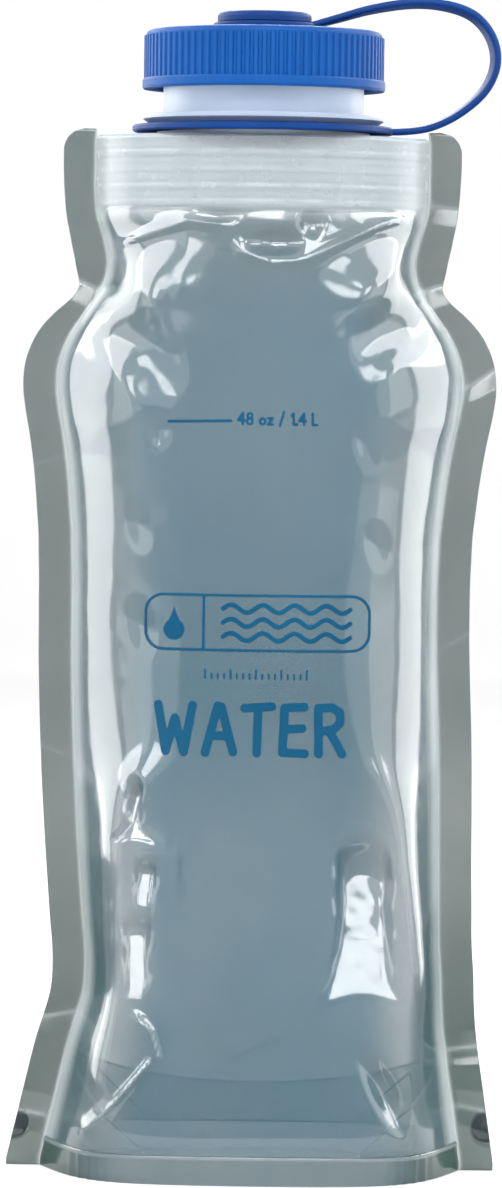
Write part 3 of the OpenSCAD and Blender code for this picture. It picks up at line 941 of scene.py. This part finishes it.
def strokes(lines, place, size, width):
    """A shape made of strokes in a box of height 1, drawn at a place with a height and a pen."""
    def at(x, z):
        u, v = (x - place[0]) / size, (z - place[1]) / size
        return size * np.minimum.reduce([capsule(u, v, line, width / size) for line in lines])
    return at


def loop(centre, radius, squeeze=1.0):
    """A closed round stroke, made narrower by squeeze."""
    return [(centre[0] + squeeze * radius * math.cos(a), centre[1] + radius * math.sin(a))
            for a in np.linspace(0, 2 * math.pi, 9)]


# Letters as strokes in a box of height 1, and how far each one moves the pen along.
GLYPHS = {
    "W": [[(0, 1), (0.17, 0.02), (0.36, 0.72), (0.56, 0), (0.74, 1)]],
    "A": [[(0, 0), (0.26, 1), (0.34, 0.98), (0.6, 0.02)], [(0.12, 0.36), (0.48, 0.36)]],
    "T": [[(0, 0.96), (0.58, 1)], [(0.29, 0.98), (0.27, 0)]],
    "E": [[(0.46, 1), (0.04, 0.98), (0, 0.02), (0.48, 0)], [(0.02, 0.52), (0.42, 0.54)]],
    "R": [[(0.02, 0), (0, 0.98), (0.3, 0.99), (0.47, 0.88), (0.47, 0.66), (0.32, 0.52),
           (0.04, 0.48)], [(0.24, 0.5), (0.52, 0)]],
    "4": [[(0.42, 0), (0.42, 1), (0, 0.34), (0.58, 0.34)]],
    "8": [loop((0.26, 0.75), 0.24, 0.9), loop((0.26, 0.25), 0.26)],
    "o": [loop((0.25, 0.27), 0.27, 0.92)],
    "z": [[(0, 0.54), (0.42, 0.54), (0, 0), (0.44, 0)]],
    "1": [[(0, 0.78), (0.2, 1), (0.2, 0)]],
    ".": [[(0, 0), (0.06, 0), (0.06, 0.06), (0, 0.06)]],
    "L": [[(0, 1), (0, 0), (0.42, 0)]],
    "/": [[(0, -0.1), (0.34, 1.1)]],
}
ADVANCE = {"W": 1.02, "A": 0.84, "T": 0.82, "E": 0.76, "R": 0.6, "4": 0.78, "8": 0.74, "o": 0.72,
           "z": 0.66, "1": 0.44, ".": 0.26, "L": 0.6, "/": 0.6, " ": 0.4}


def lettering(text, place, size, width):
    """The shapes of a line of text that starts at a place."""
    shapes, x = [], place[0]
    for letter in text:
        if letter in GLYPHS:
            shapes.append(strokes(GLYPHS[letter], (x, place[1]), size, width))
        x += ADVANCE[letter] * size
    return shapes


def rounded_frame(low, high, radius, width):
    """The outline of a box with rounded corners."""
    middle = [(a + b) / 2 for a, b in zip(low, high)]
    half = [(b - a) / 2 - radius for a, b in zip(low, high)]

    def at(x, z):
        u, v = np.abs(x - middle[0]) - half[0], np.abs(z - middle[1]) - half[1]
        outside = np.hypot(np.maximum(u, 0), np.maximum(v, 0)) + np.minimum(np.maximum(u, v), 0)
        return np.abs(outside - radius) - 0.5 * width
    return at


def drop(centre, radius, height):
    """A water drop: a disc with a tapering tip above it."""
    def at(x, z):
        rise = np.clip((z - centre[1]) / height, 0, 1)
        width = radius * np.where(z > centre[1], (1 - rise) ** 1.25, 1)
        round_part = np.hypot(x - centre[0], z - centre[1]) - radius
        tip = np.where(z > centre[1], np.abs(x - centre[0]) - width, 9.0)
        return np.minimum(round_part, np.where(z < centre[1] + height, tip, 9.0))
    return at


def wave_line(start, stop, level, swing, pitch, width):
    """A wavy stroke along x."""
    count = 12 * int(round((stop - start) / pitch)) + 1
    x = np.linspace(start, stop, count)
    line = [(a, level + swing * math.sin(2 * math.pi * (a - start) / pitch)) for a in x]
    return strokes([line], (0, 0), 1.0, width)


def inked_cells(shape, low, high, step):
    """The flat outline of a shape, cut into cells of the given size along x and z."""
    xs, zs = np.arange(low[0], high[0] + step, step), np.arange(low[1], high[1] + step, step)
    gx, gz = np.meshgrid(xs, zs)
    d = shape(gx, gz)
    verts, index, faces = [], {}, []

    def corner(j, i):
        key = ("corner", j, i)
        if key not in index:
            index[key] = len(verts)
            verts.append((xs[i], zs[j]))
        return index[key]

    def crossing(a, b):
        key = ("edge", min(a, b), max(a, b))
        if key not in index:
            t = d[a] / (d[a] - d[b])
            x0, x1 = xs[a[1]], xs[b[1]]
            z0, z1 = zs[a[0]], zs[b[0]]
            index[key] = len(verts)
            verts.append((x0 + t * (x1 - x0), z0 + t * (z1 - z0)))
        return index[key]

    for j in range(len(zs) - 1):
        for i in range(len(xs) - 1):
            ring = [(j, i), (j, i + 1), (j + 1, i + 1), (j + 1, i)]
            inside = [d[c] < 0 for c in ring]
            if not any(inside):
                continue
            face = []
            for k in range(4):
                a, b = ring[k], ring[(k + 1) % 4]
                if inside[k]:
                    face.append(corner(*a))
                if inside[k] != inside[(k + 1) % 4]:
                    face.append(crossing(a, b))
            faces.append(face)
    return np.array(verts), faces


def front_surface(x_mm, z_mm):
    """Depth of the front film's outer face at flat lists of places, in metres."""
    z = z_mm * MM
    s = (x_mm * MM - sway(z)) / inner_w(z)
    height = front_relief(x_mm[None, :], z_mm[None, :], s[None, :])[0]
    return -film_depth(s, z) - height * MM


INK_LIFT, INK_T = 0.12 * MM, 0.09 * MM


def print_piece(name, shape, low, high, step, mat):
    """A thin layer of ink on the front film, cut out of a grid of the given step between corners."""
    flat, faces = inked_cells(shape, low, high, step)
    y = front_surface(flat[:, 0], flat[:, 1])
    count = len(flat)
    top = np.stack([flat[:, 0] * MM, y - INK_LIFT, flat[:, 1] * MM], axis=1)
    bottom = top + np.array([0, INK_T, 0])
    edges = {(a, b): True for f in faces for a, b in zip(f, f[1:] + f[:1])}
    rim = [(a, b) for a, b in edges if (b, a) not in edges]
    all_faces = faces + [[i + count for i in f[::-1]] for f in faces]
    all_faces += [[b, a, a + count, b + count] for a, b in rim]
    ink = mesh_object(name, np.concatenate([top, bottom]), all_faces)
    ink.data.materials.append(mat)
    press_with_wall(ink, -1)


def union(*shapes):
    """One shape out of several."""
    return lambda x, z: np.minimum.reduce([shape(x, z) for shape in shapes])


def make_print(mat):
    """A fill line, a badge with a drop and waves, a row of ticks and one word."""
    level = union(strokes([[(-25.6, 216.5), (-8, 216.9)]], (0, 0), 1.0, 0.8),
                  *lettering("48 oz / 1.4 L", (-6, 216), 3.2, 0.7))
    print_piece("print_fill_line", level, (-27, 213), (25, 221), 0.2, mat)
    badge = union(rounded_frame((-31.5, 152), (32, 167.5), 5, 0.8),
                  strokes([[(-15, 152.3), (-15, 167.2)]], (0, 0), 1.0, 0.8),
                  drop((-23.4, 157.6), 3.0, 6.6),
                  *[wave_line(-9.5, 26.5, z, 1.1, 9.0, 1.3) for z in (155.8, 159.8, 163.8)])
    print_piece("print_badge", badge, (-33, 150.6), (33.4, 169), 0.3, mat)
    ticks = union(*[strokes([[(x, 144), (x, 146.4 if i % 4 == 0 else 145.3)]], (0, 0), 1.0, 0.55)
                    for i, x in enumerate(np.linspace(-14.4, 14.4, 17))])
    print_piece("print_ticks", ticks, (-15.6, 143), (15.6, 147.4), 0.2, mat)
    word = union(*lettering("WATER", (-27.6, 123), 13.2, 2.5))
    print_piece("print_word", word, (-30, 120.6), (31, 139), 0.35, mat)


make_camera()
bpy.context.scene.view_settings.view_transform = "Standard"
bpy.context.scene.cycles.transparent_max_bounces = 32
make_lights()
make_stage()
make_flags()

film = film_material("clear_film", 2.0)
weld = film_material("welded_film", 1.7, 0.16)
fused = film_material("film_on_boat", 1.5, 0.24)
soft_film = film_material("gusset_film", 1.12, 0.3, 0.06)
natural = spout_material()
cap_blue = plastic_material("cap_polypropylene", (0.002, 0.060, 0.25), (0.003, 0.075, 0.30))
tether_blue = plastic_material("tether_polypropylene", (0.001, 0.030, 0.15), (0.002, 0.040, 0.19))
ink = plastic_material("blue_ink", (0.001, 0.058, 0.125), (0.002, 0.072, 0.15))

make_walls(film, fused)
make_base_bands(weld)
make_corner_welds(film)
make_gusset(soft_film)
make_side_welds(weld)
make_print(ink)
make_strap(tether_blue)
dress("spout", natural)
dress("cap", cap_blue)
# The hub shares the tether's darker blue, which on it is partly painted shade.
for name in ("cap_hub", "tether_ring", "tether_eyelet"):
    dress(name, tether_blue)
